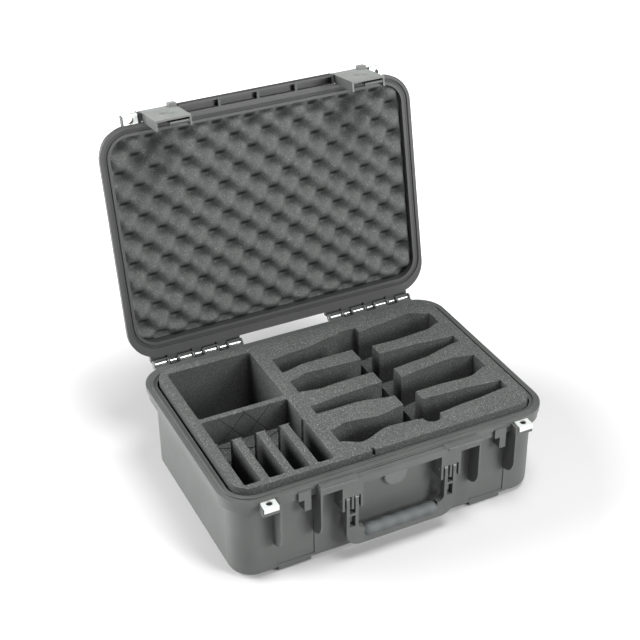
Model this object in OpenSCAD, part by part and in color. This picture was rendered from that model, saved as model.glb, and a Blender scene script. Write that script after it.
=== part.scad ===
// Hard carrying case for microphones, lid open. Millimetres.
// X to the right, Y to the back, Z up. Origin: centre of the base on the floor.
// Lid parts are drawn closed, then turned open about the hinge axis.

/* [Case] */
// Length of the body below the rim, left to right
body_l = 498; // [486:1:560]
// Depth of the body below the rim, front to back
body_w = 337; // [328:1:380]
// How far the rim stands out round the body
flange = 12.5; // [11:0.5:14]
// Height of the base with its feet
base_h = 152; // [148:1:170]
// Height of the closed lid above the base
lid_h = 55; // [54:1:90]
// Wall thickness
wall = 3.5; // [2.5:0.5:5]
// Corner radius of the body, seen from above
corner_r = 36; // [28:1:40]
// Radius of the bottom and top edges
edge_r = 12; // [6:1:14]
// Height of the feet
foot_h = 3.2; // [2:0.2:6]

/* [Hinge] */
// Opening angle of the lid
lid_open = 101.5; // [90:0.5:103]
// Hinge axis behind the rim
hinge_back = 19; // [16:1:24]
// Hinge axis below the rim
hinge_drop = 2.5; // [1:0.5:5]
// Radius of the hinge pins
pin_r = 2; // [1.5:0.25:2.5]
// Outer radius of the knuckles
knuckle_r = 6.5; // [5:0.5:7.5]
// Length of a base knuckle
long_knuckle = 25.2; // [20:0.2:27]
// Length from one base knuckle to the next
knuckle_step = 42.1; // [38:0.1:42.5]

/* [Front] */
// Depth of the fins in front of the body
fin_out = 26; // [24:0.5:30]
// Centre of each latch bay from the middle
latch_x = 159.5; // [140:0.5:161]
// Width of a latch
latch_w = 56; // [55:0.5:57.5]
// Outer arm of the handle from the middle
handle_x = 80; // [68:1:100]
// Height of the handle's pivots
handle_z = 113; // [108:0.5:114]
// Centre of each padlock plate from the middle
padlock_x = 205; // [204:0.5:214]
// Radius of a padlock hole
padlock_r = 5; // [3.5:0.25:6]

/* [Foam] */
// How far the base foam stands above the rim
foam_rise = 11; // [2:0.5:13]
// Gap between the two foams when the lid is closed
foam_gap = 0.5; // [0.3:0.1:2]
// Spacing of the lid foam's peaks along X
crate_x = 27.1; // [20:0.1:40]
// Spacing of the lid foam's peaks along Y
crate_y = 24.3; // [18:0.1:40]
// Depth from peak to pit
crate_depth = 26; // [12:1:28]

/* [Node] */
// Sub-part to draw

/* [Hidden] */
$fn = 48;

fit_gap = 0.05;
part_gap = 0.4;
body_x = body_l / 2;
body_y = body_w / 2;
rim_y = body_y + flange;
lip_h = 8;
skirt_h = 12;
skirt_in = 2;
seam_u = corner_r + 4;
floor_z = foot_h + wall;
hinge_y = rim_y + hinge_back;
hinge_z = base_h - hinge_drop;
lid_z = base_h + part_gap;
top_z = base_h + lid_h;
hinge_x0 = 78;
web_l = 3 * knuckle_step + long_knuckle;
fin_y = -body_y - fin_out;
fin_t = 3;
fin_low = 57;
fin_round = 28;
beam_low = base_h - 13;
bay_half = 31;
bay_depth = 1.4;
latch_pin_y = fin_y + 5.5;
latch_pin_z = base_h + 15;
trigger_y = -rim_y - 5.5;
trigger_z = base_h + 6;
rail_x = 7;
rail_w = 5;
grip_low = 28;
grip_top = 54;
handle_y = -body_y - 20;
grip_half = handle_x - 20;
grip_z = grip_low + 17.5;
grip_r = 10.5;
valve_z = 118;
plate_y = -rim_y - 6.5;
foam_top = base_h + foam_rise;
foam_x = body_x - 7.5;
foam_y = body_y - 5.5;
foam_r = 28;
crate_r = 32;
crate_half_x = body_x - wall - 1.6;
crate_half_y = body_y - wall - 1;
crate_nx = round(4 * crate_half_x / crate_x);
crate_ny = round(4 * crate_half_y / crate_y);
pad_top = floor_z + 13.3;

// A rounded rectangle built from four corners and the sides between them
module rrect(l, w, r) {
  square([l, w - 2 * r], center = true);
  square([l - 2 * r, w], center = true);
  for (sx = [-1, 1], sy = [-1, 1])
    translate([sx * (l / 2 - r), sy * (w / 2 - r)])
      circle(r);
}

module slab(z0, z1, l, w, r)
  translate([0, 0, z0])
    linear_extrude(z1 - z0)
      rrect(l, w, r);

// Sweeps a wall's section round the case. The section's X is the distance
// outwards from the centre of a corner, and its Y is the height.
module swept() {
  cx = body_x - corner_r;
  cy = body_y - corner_r;
  for (k = [0:3])
    translate([(k == 0 || k == 3 ? 1 : -1) * cx, (k < 2 ? 1 : -1) * cy, 0])
      rotate(90 * k)
        rotate_extrude(angle = 90)
          children();
  for (a = [0, 180])
    rotate(a) {
      translate([cx, cy, 0])
        rotate([90, 0, 0])
          linear_extrude(2 * cy)
            children();
      translate([-cx, cy, 0])
        rotate([90, 0, 90])
          linear_extrude(2 * cx)
            children();
    }
}

// Half of a tub's section: a wall that turns into the bottom with a round edge
module half_tub(r, e, h) {
  square([r - e, h]);
  translate([0, e])
    square([r, h - e]);
  translate([r - e, e])
    circle(e);
}

module tub_section(h)
  difference() {
    half_tub(corner_r, edge_r, h);
    translate([0, wall])
      half_tub(corner_r - wall, edge_r - wall, h);
  }

module strip(u0, u1, z0, z1)
  translate([u0, z0])
    square([u1 - u0, z1 - z0]);

module box(x0, x1, y0, y1, z0, z1)
  translate([x0, y0, z0])
    cube([x1 - x0, y1 - y0, z1 - z0]);

// A rod along X
module rod(x0, x1, y, z, r)
  translate([x0, y, z])
    rotate([0, 90, 0])
      cylinder(h = x1 - x0, r = r);

// A shape drawn in the YZ plane and given a width along X
module side_shape(x0, x1)
  translate([x0, 0, 0])
    rotate([90, 0, 90])
      linear_extrude(x1 - x0)
        children();

module open_lid()
  translate([0, hinge_y, hinge_z])
    rotate([-lid_open, 0, 0])
      translate([0, -hinge_y, -hinge_z])
        children();

module both_sides() {
  children();
  mirror([1, 0, 0])
    children();
}

// Base
module fin(x)
  side_shape(x - fin_t / 2, x + fin_t / 2)
    intersection() {
      union() {
        translate([fin_y, fin_low + fin_round])
          square([fin_out + 1, base_h - 4 - fin_low - fin_round]);
        translate([fin_y + fin_round, fin_low + fin_round])
          circle(fin_round);
      }
      translate([fin_y, 0])
        square([fin_out + 1, base_h]);
    }

// Pad that squares off the round bottom edge between two fins
module edge_pad(x0, x1)
  side_shape(x0, x1)
    translate([corner_r - body_y, foot_h - 2])
      mirror([1, 0])
        difference() {
          half_tub(corner_r - bay_depth + 0.2, 3.5, 22);
          translate([-0.01, wall + 2])
            half_tub(corner_r - wall, edge_r - wall, 30);
          square([corner_r - 18, 8]);
        }

// Shallow recess in the front wall, from fin to fin
module bay_recess(cx)
  box(cx - bay_half, cx + bay_half, -body_y - 1, -body_y + bay_depth,
      foot_h + edge_r, base_h - lip_h - skirt_h);

module front_ribs() {
  both_sides()
    union() {
      fin(latch_x - bay_half);
      fin(latch_x + bay_half);
      edge_pad(latch_x - bay_half + 5, latch_x + bay_half - 5);
      for (x = [handle_x - 14.5, handle_x, handle_x + 14.5])
        box(x - 1.75, x + 1.75, fin_y, -body_y + 1, 97, beam_low + 1);
      box(handle_x - 16, handle_x + 16, fin_y, -body_y + 1, 120, beam_low + 1);
    }
  box(-latch_x + bay_half, latch_x - bay_half, fin_y, -body_y + 1, beam_low, base_h - 1.5);
  for (x = [-latch_x + bay_half, latch_x - bay_half - 58])
    box(x, x + 58, fin_y, fin_y + 9, base_h - 2, base_h);
}

// The block in each latch bay that the trigger's bar hooks under
module catch_block(cx) {
  box(cx + 0.7, cx + 20, -rim_y - 2.5, -body_y + 1, 131, base_h - 6);
  box(cx + 9.5, cx + 20, -rim_y - 2.5, -body_y + 1, 111, 132);
}

module padlock_shelf(cx, z0, z1)
  box(cx - 12.5, cx + 12.5, -rim_y - 14, -body_y + 1, z0, z1);

module padlock_hole(cx, r)
  translate([cx, plate_y, base_h - 30])
    cylinder(h = 60, r = r);

module base_knuckles()
  for (k = [0:3]) {
    x = hinge_x0 + k * knuckle_step;
    rod(x, x + long_knuckle, hinge_y, hinge_z, knuckle_r);
    box(x, x + long_knuckle, rim_y - 3, hinge_y, hinge_z - knuckle_r, hinge_z - 0.5);
  }

// Opens the knuckles to the front, so that the pin shows
module base_knuckle_slots()
  for (k = [0:3]) {
    x = hinge_x0 + k * knuckle_step;
    box(x + 2, x + long_knuckle - 2, hinge_y - 8, hinge_y, hinge_z, hinge_z + 8);
  }

// The rim is wider at the back, where the hinges are
module rear_lip(more, z)
  translate([0, 0, z])
    linear_extrude(lip_h)
      difference() {
        translate([0, more])
          rrect(2 * body_x + 2 * flange, 2 * rim_y, corner_r + flange);
        rrect(2 * body_x - 2, 2 * body_y - 2, corner_r - 1);
        translate([-body_x - 20, -rim_y])
          square([2 * body_x + 40, 2 * rim_y - corner_r - flange]);
      }

module base_section() {
  translate([0, foot_h])
    tub_section(base_h - foot_h);
  strip(corner_r - 1, corner_r + flange, base_h - lip_h, base_h);
  strip(corner_r - 1, corner_r + flange - skirt_in, base_h - lip_h - skirt_h, base_h - lip_h);
  strip(seam_u - 1.5, seam_u + 1.5, base_h - 1, base_h + 2.2);
}

module base_shell()
  color("#4b4d4e")
    difference() {
      union() {
        difference() {
          swept()
            base_section();
          both_sides()
            bay_recess(latch_x);
        }
        box(corner_r - body_x, body_x - corner_r,
            corner_r - body_y, body_y - corner_r, foot_h, foot_h + wall);
        rear_lip(6, base_h - lip_h);
        front_ribs();
        catch_block(latch_x);
        catch_block(-latch_x);
        both_sides()
          union() {
            padlock_shelf(padlock_x, base_h - 18, base_h - 5);
            base_knuckles();
            box(hinge_x0, hinge_x0 + web_l, rim_y - 3, hinge_y - 8, hinge_z - 12, hinge_z - 2.5);
          }
      }
      box(-latch_x + bay_half + 4, latch_x - bay_half - 4,
          fin_y + 9.5, fin_y + 11, base_h - 3.5, base_h + 1);
      both_sides()
        union() {
          rod(hinge_x0 - 1, hinge_x0 + web_l + 1, hinge_y, hinge_z, pin_r + fit_gap);
          base_knuckle_slots();
          rod(handle_x - 20, handle_x + 20, handle_y, handle_z, pin_r + fit_gap);
          padlock_hole(padlock_x, padlock_r + 1);
        }
      translate([0, -body_y - 1, valve_z])
        rotate([-90, 0, 0])
          cylinder(h = wall + 2, r = 9);
      translate([0, -body_y - 7.2, valve_z])
        rotate([-90, 0, 0])
          cylinder(h = 7.2, r = 20.5);
    }

// Pads under the base: one near each corner and one in the middle
module feet()
  color("#2a2b2b") {
    for (x = [-latch_x, latch_x], y = [36.5 - body_y, body_y - 36.5])
      translate([x, y, 0])
        slab(0, foot_h, 50, 36, 8);
    slab(0, foot_h, 60, 60, 8);
  }

module hinge_pin()
  color("silver")
    rod(hinge_x0 - 0.5, hinge_x0 + web_l + 0.5, hinge_y, hinge_z, pin_r);

module padlock_plate(z, up)
  color("gainsboro")
    difference() {
      union() {
        box(padlock_x - 11, padlock_x + 11, -rim_y - 14, -rim_y - 0.4, z, z + 2.5);
        box(padlock_x - 11, padlock_x + 11, -rim_y - 16, -rim_y - 14,
            z + (up ? 0 : -6), z + (up ? 8.5 : 2.5));
      }
      padlock_hole(padlock_x, padlock_r);
    }

// Handle: a U of two windowed arms and a bottom bar
module handle_eye(x)
  rod(x - rail_w / 2, x + rail_w / 2, handle_y, handle_z, 5.5);

// An upright plate with two rounded bottom corners, drawn in X and Z
module handle_outline(half, low, high, r) {
  translate([-half, low + r])
    square([2 * half, high - low - r]);
  translate([-half + r, low])
    square([2 * half - 2 * r, r + 1]);
  for (s = [-1, 1])
    translate([s * (half - r), low + r])
      circle(r);
}

module front_plate(y0, y1)
  translate([0, y1, 0])
    rotate([90, 0, 0])
      linear_extrude(y1 - y0)
        children();

module arm_window(z0, z1)
  both_sides()
    box(handle_x - rail_x + rail_w / 2, handle_x + rail_x - rail_w / 2, handle_y - 7, handle_y + 7, z0, z1);

module handle_frame()
  color("#3f4142")
    difference() {
      union() {
        front_plate(handle_y - 5.5, handle_y + 5.5)
          difference() {
            handle_outline(handle_x + 9.5, grip_low, handle_z, 24);
            handle_outline(handle_x - 9.5, grip_top + 2, handle_z + 1, 10);
          }
        both_sides()
          union() {
            handle_eye(handle_x - rail_x);
            handle_eye(handle_x + rail_x);
          }
      }
      box(-grip_half, grip_half, handle_y - 7, handle_y + 7, grip_low + 19, grip_top + 3);
      arm_window(88, handle_z + 7);
      arm_window(64, 84);
      both_sides()
        rod(handle_x - 20, handle_x + 20, handle_y, handle_z, pin_r + fit_gap);
    }

// Soft grip over the bar: a sleeve with five finger scallops, open below
module handle_grip() {
  half = grip_half - 0.2;
  steps = 40;
  profile = [for (i = [0:steps])
    let (x = -half + 2 * half * i / steps, fall = max(0, abs(x) - half + 6) / 6)
    [grip_r - 0.7 + 0.7 * cos(360 * x * 5 / (2 * half)) - 2.5 * fall * fall, x]];
  color("#3a3d3f")
    difference() {
      translate([0, handle_y, grip_z])
        rotate([0, 90, 0])
          rotate_extrude()
            polygon(concat([[0, -half]], profile, [[0, half]]));
      box(-handle_x, handle_x, handle_y - 5.5, handle_y + 5.5, grip_low - 1, grip_low + 19);
    }
}

module handle_pin()
  color("silver")
    rod(handle_x - 16.2, handle_x + 16.2, handle_y, handle_z, pin_r);

// Pressure valve
module valve_body()
  color("#464849")
    translate([0, -body_y, valve_z])
      rotate([90, 0, 0])
        union() {
          cylinder(h = 3.5, r = 20);
          translate([0, 0, -wall - 1.7])
            cylinder(h = wall + 1.7, r = 8.9);
          for (a = [8, 172])
            rotate(a)
              translate([18.5, -4, 0])
                cube([5, 8, 3]);
        }

module valve_cap()
  color("#505253")
    translate([0, -body_y - 3.5, valve_z])
      rotate([90, 0, 0])
        union() {
          cylinder(h = 2, r = 19);
          translate([0, 0, 2])
            cylinder(h = 1.2, r1 = 19, r2 = 17.8);
        }

module valve_nut()
  color("#3a3b3c")
    translate([0, -body_y + wall, valve_z])
      rotate([-90, 0, 0])
        difference() {
          cylinder(h = 1.6, r = 14, $fn = 6);
          translate([0, 0, -1])
            cylinder(h = 4, r = 8.95);
        }

// Lid, drawn closed
module lid_knuckles()
  for (k = [0:2]) {
    x0 = hinge_x0 + long_knuckle + k * knuckle_step + 0.5;
    x1 = hinge_x0 + (k + 1) * knuckle_step - 0.5;
    rod(x0, x1, hinge_y, hinge_z, knuckle_r);
    box(x0, x1, rim_y - 3, hinge_y + 2, lid_z + 1, lid_z + 9);
  }

module lid_knuckle_slots()
  for (k = [0:2]) {
    x0 = hinge_x0 + long_knuckle + k * knuckle_step + 2;
    x1 = hinge_x0 + (k + 1) * knuckle_step - 2;
    box(x0, x1, hinge_y - 8, hinge_y + 1.5, hinge_z - 8, hinge_z);
  }

module latch_ear(x)
  side_shape(x - fin_t / 2, x + fin_t / 2)
    translate([latch_pin_y - 6.5, lid_z])
      square([-body_y + 1 - latch_pin_y + 6.5, latch_pin_z + 7 - lid_z]);

module lid_beam() {
  half = latch_x - bay_half + 1;
  difference() {
    box(-half, half, fin_y - 3, -body_y + 1, lid_z, lid_z + 14);
    for (k = [-1.5, -0.5, 0.5, 1.5])
      box(k * 64 - 30, k * 64 + 30, fin_y, -rim_y - 2.5, lid_z - 1, lid_z + 9);
  }
}

module lid_section() {
  translate([0, top_z])
    mirror([0, 1])
      tub_section(top_z - lid_z);
  strip(corner_r - 1, corner_r + flange, lid_z, lid_z + lip_h);
}

module lid_shell()
  color("#4b4d4e")
    open_lid()
      difference() {
        union() {
          swept()
            lid_section();
          box(corner_r - body_x, body_x - corner_r,
              corner_r - body_y, body_y - corner_r, top_z - wall, top_z);
          lid_beam();
          both_sides()
            union() {
              latch_ear(latch_x - bay_half);
              latch_ear(latch_x + bay_half);
              padlock_shelf(padlock_x, lid_z + 4.5, lid_z + 16);
              lid_knuckles();
              box(hinge_x0, hinge_x0 + web_l, body_y - 1, hinge_y, lid_z + 5, lid_z + 14);
            }
          rear_lip(9, lid_z);
        }
        swept()
          strip(seam_u - 3, seam_u + 3, lid_z - 1, lid_z + 3.6);
        both_sides()
          union() {
            rod(hinge_x0 - 1, hinge_x0 + web_l + 1, hinge_y, hinge_z, pin_r + fit_gap);
            lid_knuckle_slots();
            rod(latch_x - 35, latch_x + 35, latch_pin_y, latch_pin_z, pin_r + fit_gap);
            padlock_hole(padlock_x, padlock_r + 1);
          }
      }

module gasket()
  color("#1c1d1d")
    open_lid()
      swept()
        strip(seam_u - 2.9, seam_u + 2.9, lid_z + 2.2, lid_z + 3.6);

// Pulls a point of the foam's grid in to the rounded corners of the lid
function tuck(x, y) =
  let (cx = crate_half_x - crate_r, cy = crate_half_y - crate_r,
    u = abs(x) - cx, v = abs(y) - cy, k = crate_r / max(crate_r, norm([u, v])))
  u > 0 && v > 0 ? [sign(x) * (cx + u * k), sign(y) * (cy + v * k)] : [x, y];

// Egg-crate foam: peaks and pits on a staggered grid, read from one formula
module lid_foam() {
  peak_z = foam_top + foam_gap;
  back_z = top_z - wall - part_gap;
  row = crate_nx + 1;
  top = row * (crate_ny + 1);
  front = [for (j = [0:crate_ny], i = [0:crate_nx])
    let (p = tuck((2 * i / crate_nx - 1) * crate_half_x, (2 * j / crate_ny - 1) * crate_half_y))
    [p[0], p[1], peak_z + crate_depth / 2 * (1 + cos(90 * (i + 1)) * cos(90 * (j + 1)))]];
  edge = concat(
    [for (i = [0:crate_nx - 1]) i],
    [for (j = [0:crate_ny - 1]) j * row + crate_nx],
    [for (i = [crate_nx:-1:1]) crate_ny * row + i],
    [for (j = [crate_ny:-1:1]) j * row]);
  n = len(edge);
  side = [for (e = edge) [front[e][0], front[e][1], back_z - edge_r + 2]];
  rim = [for (e = edge) [front[e][0] * 0.975, front[e][1] * 0.96, back_z]];
  faces = concat(
    [for (j = [0:crate_ny - 1], i = [0:crate_nx - 1])
      [j * row + i, j * row + i + 1, (j + 1) * row + i]],
    [for (j = [0:crate_ny - 1], i = [0:crate_nx - 1])
      [j * row + i + 1, (j + 1) * row + i + 1, (j + 1) * row + i]],
    [for (k = [0:n - 1]) [edge[k], top + k, top + (k + 1) % n]],
    [for (k = [0:n - 1]) [edge[k], top + (k + 1) % n, edge[(k + 1) % n]]],
    [for (k = [0:n - 1]) [top + k, top + n + k, top + (k + 1) % n]],
    [for (k = [0:n - 1]) [top + n + k, top + n + (k + 1) % n, top + (k + 1) % n]],
    [for (k = [0:n - 1]) [top + n + k, top + 2 * n, top + n + (k + 1) % n]]);
  color("#5a5b5c")
    open_lid()
      polyhedron(points = concat(front, side, rim, [[0, 0, back_z]]), faces = faces);
}

// Latch: a channel that hangs from its pin, open below for the fingers
module latch_side()
  polygon([[latch_pin_y - 6.5, latch_pin_z + 5], [latch_pin_y + 5, latch_pin_z + 5],
    [latch_pin_y + 5, trigger_z + 3], [-rim_y - 1.8, base_h], [-rim_y + 2.5, base_h - 60],
    [fin_y + 0.5, base_h - 60], [fin_y - 2, base_h - 2]]);

module latch_plate()
  polygon([[fin_y - 2, base_h - 2], [latch_pin_y - 6.5, latch_pin_z + 5], [latch_pin_y - 3, latch_pin_z + 5],
    [fin_y + 1, base_h - 2], [fin_y + 3.3, base_h - 60], [fin_y + 0.5, base_h - 60]]);

module latch(cx)
  color("#6b6d6e")
    open_lid()
      difference() {
        union() {
          for (s = [-1, 1])
            side_shape(cx + s * (latch_w / 2 - 1.5) - 1.5, cx + s * (latch_w / 2 - 1.5) + 1.5)
              latch_side();
          side_shape(cx - latch_w / 2 + 2, cx + latch_w / 2 - 2)
            latch_plate();
          rod(cx - latch_w / 2 + 2, cx + latch_w / 2 - 2, latch_pin_y, latch_pin_z, 5);
          box(cx + 15, cx + 27, fin_y - 8, fin_y - 1.5, base_h - 2, base_h + 11);
        }
        rod(cx - 35, cx + 35, latch_pin_y, latch_pin_z, pin_r + fit_gap);
        rod(cx - 35, cx + 35, trigger_y, trigger_z, 1.5 + fit_gap);
      }

module latch_pin(cx)
  color("silver")
    open_lid()
      rod(cx - bay_half - fin_t / 2, cx + bay_half + fin_t / 2, latch_pin_y, latch_pin_z, pin_r);

// Trigger: a frame whose lower bar hooks under the catch block
module trigger(cx)
  color("#2f3031")
    open_lid()
      difference() {
        union() {
          rod(cx - 22, cx - 10, trigger_y, trigger_z, 3.2);
          rod(cx + 10, cx + 24.2, trigger_y, trigger_z, 3.2);
          for (x = [[-22, -18.5], [20.8, 24.2]])
            box(cx + x[0], cx + x[1], trigger_y - 2.2, trigger_y + 0.2, base_h - 43.7, trigger_z);
          rod(cx - 22, cx + 24.2, trigger_y - 1, base_h - 43.7, 2);
          box(cx - 6, cx + 24.2, trigger_y - 2, trigger_y, base_h - 58, base_h - 43.7);
          rod(cx - 6, cx + 24.2, trigger_y + 0.4, base_h - 58, 2.4);
        }
        rod(cx - 30, cx + 30, trigger_y, trigger_z, 1.5 + fit_gap);
      }

module trigger_pin(cx)
  color("silver")
    open_lid()
      rod(cx - latch_w / 2, cx + latch_w / 2, trigger_y, trigger_z, 1.5);

module trigger_spring(cx)
  color("silver")
    open_lid()
      difference() {
        rod(cx - 8, cx + 8, trigger_y, trigger_z + 0.01, 2.6);
        rod(cx - 9, cx + 9, trigger_y, trigger_z + 0.01, 1.6);
        for (k = [-3:3])
          translate([cx + k * 2, trigger_y - 4, trigger_z - 4])
            cube([0.6, 8, 4.9]);
      }

// Base foam
left_x0 = -226;
left_x1 = -88;
right_x0 = -65;
right_x1 = 223;
pack_front = -153;
pack_back = -50;
flap_back = 16;
box_back = 147;
mic_front = -128;
mic_back = 135;
gap_x0 = 60;
gap_x1 = 93;
mic_floor = 105;
gap_floor = 45;
flap_top = foam_top - 48;

// Long slots of the foam, back to front. Each has a few stations along X:
// [x, middle of the slot, its width]
left_slots = [
  [[61, 105, 50], [-20, 98, 36], [-65, 92, 40]],
  [[61, 30, 39], [5, 31, 42], [-30, 31, 47], [-65, 29, 32]],
  [[61, -39, 40], [0, -35, 27], [-65, -38, 21]],
  [[61, -106, 40], [15, -108, 29], [-35, -112, 52], [-65, -109, 30]]];
right_slots = [
  [[92, 98, 45], [130, 100, 52], [190, 106, 57], [223, 104, 31]],
  [[92, 27, 45], [140, 29, 41], [223, 34, 18]],
  [[92, -43, 43], [130, -40, 48], [185, -39, 56], [223, -36, 36]],
  [[92, -107, 41], [150, -106, 33], [223, -106, 20]]];
slot_steps = 5;

// One long side of a slot: eases from each station to the next
function slot_side(st, side) =
  [for (i = [0:len(st) - 2], k = [(i == 0 ? 0 : 1):slot_steps])
    let (t = k / slot_steps, e = (1 - cos(180 * t)) / 2, a = st[i], b = st[i + 1],
      p = a + (b - a) * e)
    [a[0] + (b[0] - a[0]) * t, p[1] + side * p[2] / 2]];

function reversed(v) = [for (i = [len(v) - 1:-1:0]) v[i]];

module mic_slots()
  for (st = concat(left_slots, right_slots))
    polygon(concat(slot_side(st, 1), reversed(slot_side(st, -1))));

module foam_bottom_pad()
  color("#3e3f40")
    slab(floor_z + 0.2, pad_top, 2 * foam_x - 12, 2 * foam_y - 12, foam_r - 6);

module foam_frame()
  color("#5c5d5e")
    difference() {
      slab(pad_top, foam_top, 2 * foam_x, 2 * foam_y, foam_r);
      box(left_x0, left_x1, pack_front, box_back, pad_top - 1, foam_top + 1);
      box(right_x0, right_x1, mic_front, mic_back, pad_top - 1, foam_top + 1);
      translate([0, 0, mic_floor])
        linear_extrude(foam_top)
          mic_slots();
      translate([gap_x1 - 9.5, mic_front, mic_floor])
        cylinder(h = 80, r = 15);
      box(-33, -28, -foam_y - 1, -foam_y + 6, foam_top - 11, foam_top + 1);
    }

module foam_flap()
  color("#4d4e4f") {
    box(left_x0, left_x1, pack_back, flap_back - 10, pad_top, flap_top);
    box(left_x0, left_x1, flap_back - 10, flap_back, pad_top, foam_top);
  }

module foam_pack_dividers()
  color("#5c5d5e")
    for (k = [0:2])
      box(left_x1 - 37.5 - 37.5 * k, left_x1 - 25 - 37.5 * k, pack_front, pack_back, pad_top, foam_top);

module foam_left_floor()
  color("#3e3f40") {
    box(left_x0, left_x1, flap_back, box_back, pad_top, 50);
    for (k = [0:3])
      box(max(left_x0, left_x1 - 25 - 37.5 * k), left_x1 - 37.5 * k, pack_front, pack_back, pad_top, 62);
  }

module foam_mic_floor()
  color("#3e3f40") {
    box(right_x0, gap_x0, mic_front, mic_back, pad_top, mic_floor);
    box(gap_x1, right_x1, mic_front, mic_back, pad_top, mic_floor);
    box(gap_x0, gap_x1, mic_front, mic_back, pad_top, gap_floor);
  }

// The foam that stays between the slots of one column
module islands(x0, x1)
  color("#5c5d5e")
    translate([0, 0, mic_floor])
      linear_extrude(foam_top - mic_floor)
        difference() {
          translate([x0, mic_front])
            square([x1 - x0, mic_back - mic_front]);
          mic_slots();
        }

base_shell();
lid_shell();
feet();
gasket();
mirror([1, 0, 0]) hinge_pin();  // hinge_pin_left
hinge_pin();  // hinge_pin_right
mirror([1, 0, 0]) padlock_plate(base_h - 5, false);  // base_padlock_left
padlock_plate(base_h - 5, false);  // base_padlock_right
open_lid() mirror([1, 0, 0]) padlock_plate(lid_z + 2, true);  // lid_padlock_left
open_lid() padlock_plate(lid_z + 2, true);  // lid_padlock_right
latch(-latch_x);  // latch_left
latch(latch_x);  // latch_right
latch_pin(-latch_x);  // latch_pin_left
latch_pin(latch_x);  // latch_pin_right
trigger(-latch_x);  // trigger_left
trigger(latch_x);  // trigger_right
trigger_pin(-latch_x);  // trigger_pin_left
trigger_pin(latch_x);  // trigger_pin_right
trigger_spring(-latch_x);  // trigger_spring_left
trigger_spring(latch_x);  // trigger_spring_right
handle_frame();
handle_grip();
mirror([1, 0, 0]) handle_pin();  // handle_pin_left
handle_pin();  // handle_pin_right
valve_body();
valve_cap();
valve_nut();
foam_bottom_pad();
foam_frame();
foam_flap();
foam_pack_dividers();
foam_left_floor();
foam_mic_floor();
islands(right_x0, gap_x0);  // foam_islands_left
islands(gap_x1, right_x1);  // foam_islands_right
lid_foam();
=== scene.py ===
import math

import bmesh
import bpy
from mathutils import Euler, Matrix, Vector


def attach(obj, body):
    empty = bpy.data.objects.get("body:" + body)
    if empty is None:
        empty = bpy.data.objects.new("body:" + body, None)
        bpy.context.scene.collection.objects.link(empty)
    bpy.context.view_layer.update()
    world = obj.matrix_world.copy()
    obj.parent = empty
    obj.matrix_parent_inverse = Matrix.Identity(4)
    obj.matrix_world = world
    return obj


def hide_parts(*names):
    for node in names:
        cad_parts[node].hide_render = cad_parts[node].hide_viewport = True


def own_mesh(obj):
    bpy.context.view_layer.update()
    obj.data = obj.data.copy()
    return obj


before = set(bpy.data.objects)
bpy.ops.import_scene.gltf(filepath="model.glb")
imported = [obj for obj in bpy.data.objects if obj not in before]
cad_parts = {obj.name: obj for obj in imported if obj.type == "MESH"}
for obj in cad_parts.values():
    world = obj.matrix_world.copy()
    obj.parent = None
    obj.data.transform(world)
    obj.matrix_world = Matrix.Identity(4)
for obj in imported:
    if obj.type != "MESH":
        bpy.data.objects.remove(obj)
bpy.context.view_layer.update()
scene = bpy.context.scene
mm = 0.001

# the lid is modelled closed, then opened about the hinge
lidHinge = {"y": 200 * mm, "z": 149.5 * mm, "openAngle": 101.5}


# pieces of the lid are shaped closed and then turned open
def openLid(point):
    turn = Matrix.Rotation(math.radians(-lidHinge["openAngle"]), 3, "X")
    hinge = Vector((0, lidHinge["y"], lidHinge["z"]))
    return hinge + turn @ (Vector(point) - hinge)


# a shader socket that can be used in Python sums
class Wire:
    def __init__(self, sheet, socket):
        self.sheet = sheet
        self.socket = socket

    def maths(self, operation, first, second):
        return self.sheet.add("ShaderNodeMath", {"operation": operation}, {0: first, 1: second})

    def __add__(self, other):
        return self.maths("ADD", self, other)

    def __radd__(self, other):
        return self.maths("ADD", other, self)

    def __sub__(self, other):
        return self.maths("SUBTRACT", self, other)

    def __rsub__(self, other):
        return self.maths("SUBTRACT", other, self)

    def __mul__(self, other):
        return self.maths("MULTIPLY", self, other)

    def __rmul__(self, other):
        return self.maths("MULTIPLY", other, self)


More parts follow.
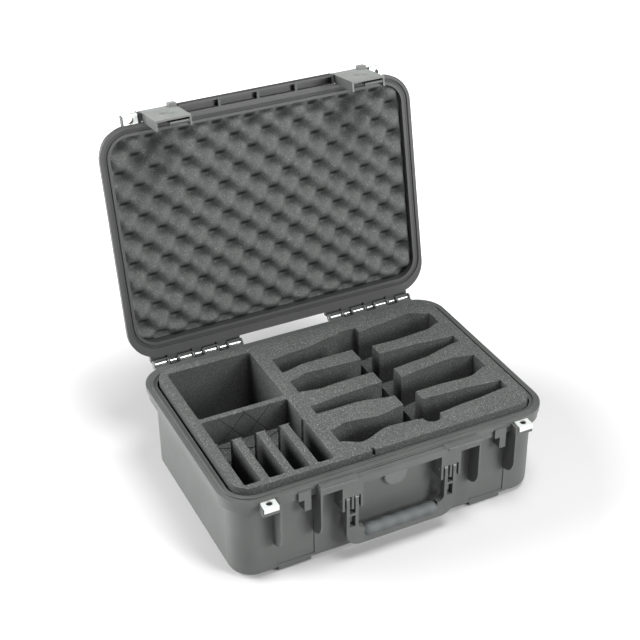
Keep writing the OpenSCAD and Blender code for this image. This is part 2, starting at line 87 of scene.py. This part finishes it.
class ShaderSheet:
    def __init__(self, name):
        self.material = bpy.data.materials.new(name)
        self.material.use_nodes = True
        self.tree = self.material.node_tree
        self.shader = self.tree.nodes["Principled BSDF"]
        self.place = self.add("ShaderNodeTexCoord", {}, {}, "Object")

    def add(self, kind, settings, inputs, output=0):
        node = self.tree.nodes.new(kind)
        for key, value in settings.items():
            if key == "stops":
                ramp = node.color_ramp
                while len(ramp.elements) < len(value):
                    ramp.elements.new(0.5)
                for element, (position, shade) in zip(ramp.elements, value):
                    element.position = position
                    element.color = (shade, shade, shade, 1)
            else:
                setattr(node, key, value)
        for key, value in inputs.items():
            if isinstance(value, Wire):
                self.tree.links.new(value.socket, node.inputs[key])
            else:
                node.inputs[key].default_value = value
        return Wire(self, node.outputs[output])

    def noise(self, size, detail=3, stretch=(1, 1, 1)):
        where = self.add("ShaderNodeMapping", {}, {"Vector": self.place, "Scale": stretch})
        return self.add("ShaderNodeTexNoise", {}, {"Vector": where, "Scale": 1 / size, "Detail": detail})

    def cells(self, size):
        return self.add("ShaderNodeTexVoronoi", {}, {"Vector": self.place, "Scale": 1 / size})

    # how far a face points up in its own object, from -1 to 1
    def up(self):
        facing = self.add("ShaderNodeTexCoord", {}, {}, "Normal")
        return self.add("ShaderNodeVectorMath", {"operation": "DOT_PRODUCT"},
                        {0: facing, 1: (0, 0, 1)}, "Value")

    def ramp(self, factor, stops):
        return self.add("ShaderNodeValToRGB", {"stops": stops}, {"Fac": factor})

    def blend(self, factor, dark, light):
        return self.add("ShaderNodeMix", {"data_type": "RGBA"},
                        {0: factor, 6: dark, 7: light}, 2)

    def feed(self, name, value):
        socket = self.shader.inputs[name]
        if isinstance(value, Wire):
            self.tree.links.new(value.socket, socket)
        else:
            socket.default_value = value

    def bump(self, height, strength, distance):
        normal = self.add("ShaderNodeBump", {},
                          {"Height": height, "Strength": strength, "Distance": distance}, "Normal")
        self.feed("Normal", normal)


def grey(value, green=0.025, blue=-0.01):
    return (value * (1 - green), value * (1 + green), value * (1 + blue), 1)


# paintedShadeTurn sets where the painted side shade of mouldedPlastic turns on, by how far a face points up
plasticLook = {
    "grain": 0.9 * mm, "cloud": 60 * mm, "scuff": 14 * mm, "scuffStretch": (1, 1, 0.35),
    "grainHeight": 0.12 * mm, "paintedShadeTurn": ((0.35, 0), (0.7, 1))}


# sides is a painted shade: the darker tone given to the faces that don't point up, standing in for the
# shadow on them
def mouldedPlastic(name, colour, rough, spread=0.12, sides=None):
    sheet = ShaderSheet(name)
    grain = sheet.noise(plasticLook["grain"], 2)
    cloud = sheet.noise(plasticLook["cloud"], 4)
    scuff = sheet.noise(plasticLook["scuff"], 6, plasticLook["scuffStretch"])
    tone = sheet.ramp(cloud * 0.65 + scuff * 0.35, ((0.3, 0), (0.7, 1)))
    skin = sheet.blend(tone, grey(colour * (1 - spread)), grey(colour * (1 + spread)))
    # painted shade: faces that don't point up are blended to the sides tone, standing in for the shadow on
    # them
    if sides:
        skin = sheet.blend(sheet.ramp(sheet.up(), plasticLook["paintedShadeTurn"]), grey(sides), skin)
    sheet.feed("Base Color", skin)
    sheet.feed("Roughness", rough + (grain - 0.5) * 0.14 + (scuff - 0.5) * 0.1)
    sheet.bump(grain, 0.55, plasticLook["grainHeight"])
    sheet.feed("Specular IOR Level", 0.5)
    return sheet.material


# paintedWallShadeAmount and paintedWallShadeStops set a painted shade on the foam faces that don't point up
foamLook = {
    "pore": 1.7 * mm, "clump": 3.4 * mm, "fleck": 1.5 * mm, "bruise": 38 * mm, "paintedWallShadeAmount": 0.5,
    "groundStops": ((0.34, 0), (0.74, 1)), "fleckStops": ((0.65, 0), (0.72, 1)),
    # paintedUndersideStops sets where the painted shade on the downward faces of the lid foam's pits turns
    # on
    "paintedWallShadeStops": ((0.3, 1), (0.8, 0)), "paintedUndersideStops": ((0.2, 0), (0.6, 1)), "bumpHeight": 0.7 * mm}


# with paintedPitShade given, the foam gets painted shade in its pits instead of on its upright faces
def openCellFoam(name, dark, light, fleckTone, paintedPitShade=None):
    sheet = ShaderSheet(name)
    pores = sheet.cells(foamLook["pore"])
    clumps = sheet.noise(foamLook["clump"], 3)
    bruise = sheet.noise(foamLook["bruise"], 3)
    specks = sheet.noise(foamLook["fleck"], 1)
    ground = sheet.ramp(clumps * 0.7 + pores * 0.4, foamLook["groundStops"])
    fleck = sheet.ramp(specks, foamLook["fleckStops"])
    tone = ground * 0.75 + bruise * 0.3
    worn = sheet.blend(tone, grey(dark), grey(light))
    colour = sheet.blend(fleck, worn, grey(fleckTone))
    if not paintedPitShade:
        # painted shade: foam faces that don't point up are blended up to halfway to the dark tone, standing
        # in for shadow on the pocket walls
        cut = sheet.ramp(sheet.up(), foamLook["paintedWallShadeStops"])
        colour = sheet.blend(cut * foamLook["paintedWallShadeAmount"], colour, grey(dark))
    else:
        # painted shade: the lid foam is darkened where it lies deep in its pits and faces down, standing in
        # for the shadow under each bump
        outward = openLid((0, 0, 1)) - openLid((0, 0, 0))
        start = openLid((0, 0, paintedPitShade["start"] * mm)).dot(outward)
        height = sheet.add("ShaderNodeVectorMath", {"operation": "DOT_PRODUCT"},
                           {0: sheet.place, 1: outward}, "Value")
        paintedDepthShade = sheet.ramp((height - start) * (1 / (paintedPitShade["depth"] * mm)), ((0, 0), (1, 1)))
        paintedUndersideShade = sheet.ramp(sheet.up() * -1, foamLook["paintedUndersideStops"])
        colour = sheet.blend(paintedDepthShade * paintedUndersideShade, colour, grey(paintedPitShade["tone"]))
    sheet.feed("Base Color", colour)
    sheet.feed("Roughness", 0.94 + ground * 0.05)
    sheet.bump(clumps * 0.6 + pores * 0.5, 0.9, foamLook["bumpHeight"])
    sheet.feed("Specular IOR Level", 0.2)
    return sheet.material


steelLook = {"brush": 1.2 * mm, "stretch": (0.08, 1, 1), "smudge": 9 * mm, "brushHeight": 0.05 * mm}


def drawnSteel(name, colour, rough, metal=1.0):
    sheet = ShaderSheet(name)
    brushed = sheet.noise(steelLook["brush"], 4, steelLook["stretch"])
    smudge = sheet.noise(steelLook["smudge"], 3)
    sheet.feed("Base Color", sheet.blend(smudge, grey(colour * 0.86), grey(colour)))
    sheet.feed("Metallic", metal)
    sheet.feed("Roughness", rough + (brushed - 0.5) * 0.2 + (smudge - 0.5) * 0.1)
    sheet.bump(brushed, 0.25, steelLook["brushHeight"])
    return sheet.material


rubberLook = {"grain": 0.7 * mm, "dust": 22 * mm, "grainHeight": 0.1 * mm}


def softRubber(name, colour, green=0.025, blue=-0.01):
    sheet = ShaderSheet(name)
    grain = sheet.noise(rubberLook["grain"], 2)
    dust = sheet.noise(rubberLook["dust"], 5)
    clean, dusty = grey(colour * 0.8, green, blue), grey(colour * 1.35, green, blue)
    sheet.feed("Base Color", sheet.blend(dust, clean, dusty))
    sheet.feed("Roughness", 0.68 + (dust - 0.5) * 0.25)
    sheet.bump(grain, 0.5, rubberLook["grainHeight"])
    return sheet.material


finishes = {
    "shell": mouldedPlastic("shellPlastic", 0.07, 0.42),
    # painted shade: the lid shell is the base shell's plastic, given a darker tone to stand in for the lid
    # lying in more shade
    "lidShellPaintedShade": mouldedPlastic("lidPlasticPaintedShade", 0.028, 0.56),
    # painted shade: the latch's faces that don't point up get the dark sides tone of 0.06
    "latch": mouldedPlastic("latchPlastic", 0.205, 0.4, sides=0.06),
    # painted shade: the oval is the latch's own plastic, toned darker to stand in for the shade round its
    # relief
    "badge": mouldedPlastic("badgePlasticPaintedShade", 0.16, 0.4),
    "valve": mouldedPlastic("valvePlastic", 0.1, 0.36),
    "dark": mouldedPlastic("darkPlastic", 0.045, 0.48),
    # painted shade on both base foam finishes: their faces that don't point up are darkened
    "foam": openCellFoam("cutFoam", 0.026, 0.086, 0.23),
    "foamFloor": openCellFoam("foamFloor", 0.025, 0.095, 0.24),
    # painted shade in the lid foam's pits: from 160 mm over 10 mm deep, toward a tone of 0.012
    "lidFoam": openCellFoam("crateFoam", 0.048, 0.088, 0.18,
                            {"start": 160, "depth": 10, "tone": 0.012}),
    "pin": drawnSteel("pinSteel", 0.62, 0.3),
    "plate": drawnSteel("plateSteel", 0.72, 0.42, 0.5),
    "gasket": softRubber("gasketRubber", 0.02),
    "grip": softRubber("gripRubber", 0.06, 0.05, 0.06)}
print("materials ready:", len(finishes))

cadFinish = {
    "base_shell": "shell", "lid_shell": "lidShellPaintedShade", "gasket": "gasket", "feet": "gasket",
    "latch_left": "latch", "latch_right": "latch",
    "trigger_left": "dark", "trigger_right": "dark",
    "handle_frame": "shell", "handle_grip": "grip",
    "valve_body": "valve", "valve_cap": "valve", "valve_nut": "dark"}
for nodeName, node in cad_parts.items():
    finish = cadFinish.get(nodeName)
    if finish is None:
        finish = "plate" if "padlock" in nodeName else "foam" if "foam" in nodeName else "pin"
    node.data.materials.clear()
    node.data.materials.append(finishes[finish])
print("finished CAD nodes:", len(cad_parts))


def pieceFrom(bm, name, finish, smooth=True):
    mesh = bpy.data.meshes.new(name)
    bmesh.ops.recalc_face_normals(bm, faces=bm.faces)
    bm.to_mesh(mesh)
    bm.free()
    mesh.materials.append(finishes[finish])
    piece = bpy.data.objects.new(name, mesh)
    scene.collection.objects.link(piece)
    if smooth:
        mesh.shade_smooth()
        mesh.set_sharp_from_angle(angle=math.radians(35))
    return piece


def settle(piece):
    bpy.context.view_layer.update()
    graph = bpy.context.evaluated_depsgraph_get()
    finished = bpy.data.meshes.new_from_object(piece.evaluated_get(graph))
    piece.modifiers.clear()
    piece.data = finished


def prism(outline, low, high):
    bm = bmesh.new()
    base = bm.faces.new([bm.verts.new((x * mm, y * mm, low * mm)) for x, y in outline])
    grown = bmesh.ops.extrude_face_region(bm, geom=[base])
    top = [e for e in grown["geom"] if isinstance(e, bmesh.types.BMVert)]
    bmesh.ops.translate(bm, verts=top, vec=(0, 0, (high - low) * mm))
    bmesh.ops.recalc_face_normals(bm, faces=bm.faces)
    return bm


def roundUprights(bm, radius, segments=5):
    uprights = [e for e in bm.edges if abs(e.verts[0].co.z - e.verts[1].co.z) > 1 * mm]
    bmesh.ops.bevel(bm, geom=uprights, offset=radius * mm, offset_type="OFFSET", affect="EDGES",
                    segments=segments, profile=0.5, material=-1, clamp_overlap=True)


# base foam is one block with its pockets cut out
baseFoam = {
    "halfLength": 241.5, "halfDepth": 163, "corner": 28, "top": 163, "bottom": 20,
    "edge": 1.6}
pockets = {  # left, right, front, back, floor, corner radius
    "accessories": (-226, -88, 16, 147, 50, 5),
    "flap": (-226, -88, -50, 6, 100, 3),
    "packOne": (-226, -200.5, -153, -50, 62, 3),
    "packTwo": (-188, -163, -153, -50, 62, 3),
    "packThree": (-150.5, -125.5, -153, -50, 62, 3),
    "packFour": (-113, -88, -153, -50, 62, 3),
    "fingers": (60, 93, -128, 135, 45, 3)}
slots = {  # stations along X: x, middle of the slot, its width
    "leftA": ((61, 105, 50), (-20, 98, 36), (-65, 92, 40)),
    "leftB": ((61, 30, 39), (5, 31, 42), (-30, 31, 47), (-65, 29, 32)),
    "leftC": ((61, -39, 40), (0, -35, 27), (-65, -38, 21)),
    "leftD": ((61, -106, 40), (15, -108, 29), (-35, -112, 52), (-65, -109, 30)),
    "rightA": ((92, 98, 45), (130, 100, 52), (190, 106, 57), (223, 104, 31)),
    "rightB": ((92, 27, 45), (140, 29, 41), (223, 34, 18)),
    "rightC": ((92, -43, 43), (130, -40, 48), (185, -39, 56), (223, -36, 36)),
    "rightD": ((92, -107, 41), (150, -106, 33), (223, -106, 20))}
slotShape = {"floor": 105, "steps": 5}
scallop = {"x": 83.5, "y": -128, "radius": 15, "floor": 105, "height": 100}
frontNotch = {"left": -33, "right": -28, "front": -170, "back": -157, "low": 152, "high": 200}
wallSlits = {
    "face": 6, "depth": 2.5, "width": 1.3, "top": 170, "low": 104,
    "feet": ((-205, -150), (-165, -110))}
overcut = 20  # how far the cutters stand above the foam


def slotOutline(stations):
    sides = ([], [])
    for (x0, middle0, width0), (x1, middle1, width1) in zip(stations, stations[1:]):
        for step in range(slotShape["steps"] + 1):
            along = step / slotShape["steps"]
            ease = (1 - math.cos(math.pi * along)) / 2
            x = x0 + (x1 - x0) * along
            middle = middle0 + (middle1 - middle0) * ease
            half = (width0 + (width1 - width0) * ease) / 2
            if step or not sides[0]:
                sides[0].append((x, middle + half))
                sides[1].append((x, middle - half))
    return sides[0] + sides[1][::-1]


def cutFoam():
    size = baseFoam
    x, y = size["halfLength"], size["halfDepth"]
    block = prism([(-x, -y), (x, -y), (x, y), (-x, y)], size["bottom"], size["top"])
    roundUprights(block, size["corner"], 10)
    piece = pieceFrom(block, "baseFoam", "foam")
    for left, right, front, back, floor, radius in pockets.values():
        cutter = prism([(left, front), (right, front), (right, back), (left, back)],
                       floor, size["top"] + overcut)
        roundUprights(cutter, radius)
        cutAway(piece, cutter)
    for stations in slots.values():
        cutAway(piece, prism(slotOutline(stations), slotShape["floor"], size["top"] + overcut))
    hole, radius = bmesh.new(), scallop["radius"] * mm
    middle = Vector((scallop["x"], scallop["y"], scallop["floor"] + scallop["height"] / 2)) * mm
    bmesh.ops.create_cone(hole, cap_ends=True, segments=40, radius1=radius, radius2=radius,
                          depth=scallop["height"] * mm, matrix=Matrix.Translation(middle))
    cutAway(piece, hole)
    notch = frontNotch
    cutAway(piece, prism([(notch["left"], notch["front"]), (notch["right"], notch["front"]),
                          (notch["right"], notch["back"]), (notch["left"], notch["back"])],
                         notch["low"], notch["high"]))
    for ends in wallSlits["feet"]:
        for foot, head in (ends, ends[::-1]):
            cutAway(piece, wallSlit(foot, head))
    softenEdges(piece, size["edge"])
    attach(piece, "base")
    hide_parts("foam_frame", "foam_pack_dividers", "foam_left_floor", "foam_mic_floor",
                "foam_islands_left", "foam_islands_right", "foam_bottom_pad")
    return piece


def wallSlit(foot, head):
    slit = wallSlits
    left, right = foot - slit["width"] / 2, foot + slit["width"] / 2
    front, back = slit["face"] - 1, slit["face"] + slit["depth"]
    blade = prism([(left, front), (right, front), (right, back), (left, back)], slit["low"], slit["top"])
    top = [v for v in blade.verts if v.co.z > (slit["top"] - 1) * mm]
    bmesh.ops.translate(blade, verts=top, vec=((head - foot) * mm, 0, 0))
    return blade


def cutAway(piece, cutterMesh):
    mesh = bpy.data.meshes.new("cutter")
    bmesh.ops.recalc_face_normals(cutterMesh, faces=cutterMesh.faces)
    cutterMesh.to_mesh(mesh)
    cutterMesh.free()
    cutter = bpy.data.objects.new("cutter", mesh)
    scene.collection.objects.link(cutter)
    cut = piece.modifiers.new("cut", "BOOLEAN")
    cut.operation = "DIFFERENCE"
    cut.solver = "EXACT"
    cut.object = cutter
    settle(piece)
    bpy.data.objects.remove(cutter)


def softenEdges(piece, width):
    bm = bmesh.new()
    bm.from_mesh(piece.data)
    bmesh.ops.remove_doubles(bm, verts=bm.verts, dist=0.05 * mm)
    bmesh.ops.dissolve_limit(bm, angle_limit=math.radians(2), verts=bm.verts, edges=bm.edges)
    top = baseFoam["top"] * mm
    rims = [e for e in bm.edges if all(v.co.z > top - 0.1 * mm for v in e.verts)]
    bmesh.ops.bevel(bm, geom=rims, offset=width * mm, offset_type="OFFSET", affect="EDGES",
                    segments=3, profile=0.5, material=-1, clamp_overlap=True)
    bm.to_mesh(piece.data)
    bm.free()
    piece.data.shade_smooth()
    piece.data.set_sharp_from_angle(angle=math.radians(40))


cutFoam()
print("base foam cut")

# the loose flap over the cable pocket
flap = {
    "left": -225.5, "right": -88.5, "front": -49.5, "back": 5.5, "low": 101, "top": 115,
    "slit": 1.6, "slitReach": 90, "slitDepth": 7, "slitAngles": (-22, 22)}


def looseFlap():
    size = flap
    midX, midY = (size["left"] + size["right"]) / 2, (size["front"] + size["back"]) / 2
    block = prism([(size["left"], size["front"]), (size["right"], size["front"]),
                   (size["right"], size["back"]), (size["left"], size["back"])],
                  size["low"], size["top"])
    piece = pieceFrom(block, "foamFlap", "foamFloor")
    reach, half = size["slitReach"], size["slit"] / 2
    for angle in size["slitAngles"]:
        slit = prism([(-reach, -half), (reach, -half), (reach, half), (-reach, half)],
                     size["top"] - size["slitDepth"], size["top"] + 5)
        bmesh.ops.transform(slit, verts=slit.verts,
                            matrix=Matrix.Translation(Vector((midX, midY, 0)) * mm)
                            @ Matrix.Rotation(math.radians(angle), 4, "Z"))
        cutAway(piece, slit)
    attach(piece, "base")
    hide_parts("foam_flap")


looseFlap()
print("flap laid in")

# egg-crate foam in the lid
crate = {
    "halfLength": 244.4, "halfDepth": 164.4, "corner": 31, "pitchX": 27.1, "pitchY": 24.0,
    "pitX": -203.25, "pitY": -78, "peak": 154.5, "pit": 178, "back": 203, "fullness": 1.5,
    "hem": 12, "hemLevel": 0.25, "cellsX": 216, "cellsY": 162}


def crateFoam():
    size = crate
    bm = bmesh.new()
    bmesh.ops.create_grid(bm, x_segments=size["cellsX"], y_segments=size["cellsY"], size=1)
    middle, swing = (size["peak"] + size["pit"]) / 2, (size["pit"] - size["peak"]) / 2
    edgeVerts = [e for e in bm.edges if e.is_boundary]
    for vert in bm.verts:
        x, y = vert.co.x * size["halfLength"], vert.co.y * size["halfDepth"]
        wave = (math.cos(math.pi * (x - size["pitX"]) / size["pitchX"])
                * math.cos(math.pi * (y - size["pitY"]) / size["pitchY"]))
        shaped = 2 * ((1 + wave) / 2) ** size["fullness"] - 1
        hem = min(1, max(0, (size["halfDepth"] - y) / size["hem"]))  # fades by the hinge
        shaped = shaped * hem + size["hemLevel"] * (1 - hem)
        u, v = abs(x) - (size["halfLength"] - size["corner"]), abs(y) - (size["halfDepth"] - size["corner"])
        if u > 0 and v > 0 and math.hypot(u, v) > size["corner"]:
            pull = size["corner"] / math.hypot(u, v)
            x = math.copysign(size["halfLength"] - size["corner"] + u * pull, x)
            y = math.copysign(size["halfDepth"] - size["corner"] + v * pull, y)
        vert.co = Vector((x, y, middle + swing * shaped)) * mm
    grown = bmesh.ops.extrude_edge_only(bm, edges=edgeVerts)
    skirt = [e for e in grown["geom"] if isinstance(e, bmesh.types.BMVert)]
    for vert in skirt:
        vert.co.z = size["back"] * mm
    bmesh.ops.contextual_create(bm, geom=[e for e in bm.edges if e.is_boundary])
    for vert in bm.verts:
        vert.co = openLid(vert.co)
    piece = pieceFrom(bm, "lidFoam", "lidFoam")
    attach(piece, "lid")
    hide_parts("lid_foam")
    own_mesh(piece)


crateFoam()
print("lid foam shaped")

latchOval = {
    "centres": {"latch_left": -159.5, "latch_right": 159.5}, "height": 122, "face": -195.2,
    "halfLength": 10, "halfHeight": 6.5, "proud": 1.6, "sunk": 0.6, "lip": 1.8, "dish": 1.2}


def ovalBadge(body, centre):
    size = latchOval
    bm = bmesh.new()
    bmesh.ops.create_circle(bm, cap_ends=True, segments=40, radius=1)
    bmesh.ops.scale(bm, verts=bm.verts, vec=(size["halfLength"] * mm, size["halfHeight"] * mm, 1))
    face = bm.faces[:]
    grown = bmesh.ops.extrude_face_region(bm, geom=face)
    raised = [e for e in grown["geom"] if isinstance(e, bmesh.types.BMVert)]
    bmesh.ops.translate(bm, verts=raised, vec=(0, 0, (size["proud"] + size["sunk"]) * mm))
    lid = [f for f in bm.faces if all(v in raised for v in f.verts)]
    bmesh.ops.inset_region(bm, faces=lid, thickness=size["lip"] * mm, depth=-size["dish"] * mm,
                           use_even_offset=True)
    bmesh.ops.rotate(bm, verts=bm.verts, matrix=Matrix.Rotation(math.radians(90), 3, "X"))
    place = Vector((centre, size["face"] + size["sunk"], size["height"])) * mm
    bmesh.ops.translate(bm, verts=bm.verts, vec=place)
    for vert in bm.verts:
        vert.co = openLid(vert.co)
    piece = pieceFrom(bm, body + "Oval", "badge")
    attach(piece, body)


for body, centre in latchOval["centres"].items():
    ovalBadge(body, centre)
print("latch ovals raised")

# a proud strip at the rim above each handle post
rimHook = {
    "left": 74, "right": 130.5, "low": 147.6, "high": 151.6, "face": -194.5,
    "proud": 2.4, "sunk": 2, "edge": 0.6}


def addRimHook(side):
    size = rimHook
    start, end = sorted((side * size["left"], side * size["right"]))
    front, back = size["face"] - size["proud"], size["face"] + size["sunk"]
    bm = prism([(start, front), (end, front), (end, back), (start, back)], size["low"], size["high"])
    bmesh.ops.bevel(bm, geom=bm.edges[:], offset=size["edge"] * mm, offset_type="OFFSET", affect="EDGES",
                    segments=2, profile=0.5, material=-1, clamp_overlap=True)
    piece = pieceFrom(bm, "rimHookRight" if side > 0 else "rimHookLeft", "shell")
    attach(piece, "base")


addRimHook(-1)
addRimHook(1)
print("rim hooks added")

studio = {
    "floor": 0.5,
    "floorSize": 12,
    "world": 0.12,
    "glow": {"reach": 2.0, "near": (0.2, 0.03), "far": (0.5, 1.0), "strength": 1.04},
    "lights": (
        ("topKey", (0.3, -0.5, 2.3), (0, 0.15, 0.25), 1.1, 58),
        ("backSoftbox", (-2.3, 1.15, 1.0), (-0.25, 0.1, 0.15), 2.2, 200),
        ("frontFill", (1.2, -2.3, 1.2), (0, 0, 0.15), 1.2, 94))}


def setStudio():
    bm = bmesh.new()
    bmesh.ops.create_grid(bm, x_segments=1, y_segments=1, size=studio["floorSize"])
    finishes["floor"] = floorPaper()
    floor = pieceFrom(bm, "floor", "floor", False)
    world = bpy.data.worlds.new("studio")
    scene.world = world
    world.use_nodes = True
    world.node_tree.nodes["Background"].inputs["Color"].default_value = (1, 1, 1, 1)
    world.node_tree.nodes["Background"].inputs["Strength"].default_value = studio["world"]
    for name, place, aim, size, power in studio["lights"]:
        light = bpy.data.lights.new(name, "AREA")
        light.shape = "DISK"
        light.size = size
        light.energy = power
        lamp = bpy.data.objects.new(name, light)
        scene.collection.objects.link(lamp)
        lamp.location = place
        lamp.rotation_euler = (Vector(aim) - Vector(place)).to_track_quat("-Z", "Y").to_euler()


def floorPaper():
    sheet = ShaderSheet("floorPaper")
    fibre = sheet.noise(0.5, 2)
    tone = studio["floor"]
    sheet.feed("Base Color", sheet.blend(fibre, grey(tone * 0.985, 0, 0), grey(tone, 0, 0)))
    sheet.feed("Roughness", 0.9)
    sheet.feed("Specular IOR Level", 0.1)
    glow = studio["glow"]
    away = sheet.add("ShaderNodeVectorMath", {"operation": "LENGTH"}, {0: sheet.place}, "Value")
    sheet.feed("Emission Color", sheet.ramp(away * (1 / glow["reach"]), (glow["near"], glow["far"])))
    sheet.feed("Emission Strength", glow["strength"])
    return sheet.material


setStudio()

cameraSet = {
    "place": (-762.295 * mm, -1505.95 * mm, 1346.295 * mm),
    "turn": (57.73432, 0.52211, -26.12413), "fieldOfView": 26.52995}
lens = bpy.data.cameras.new("camera")
lens.angle = math.radians(cameraSet["fieldOfView"])
lens.clip_start = 0.05
camera = bpy.data.objects.new("camera", lens)
scene.collection.objects.link(camera)
camera.location = cameraSet["place"]
camera.rotation_euler = Euler([math.radians(a) for a in cameraSet["turn"]], "XYZ")
scene.camera = camera
scene.view_settings.view_transform = "Standard"
print("studio set")
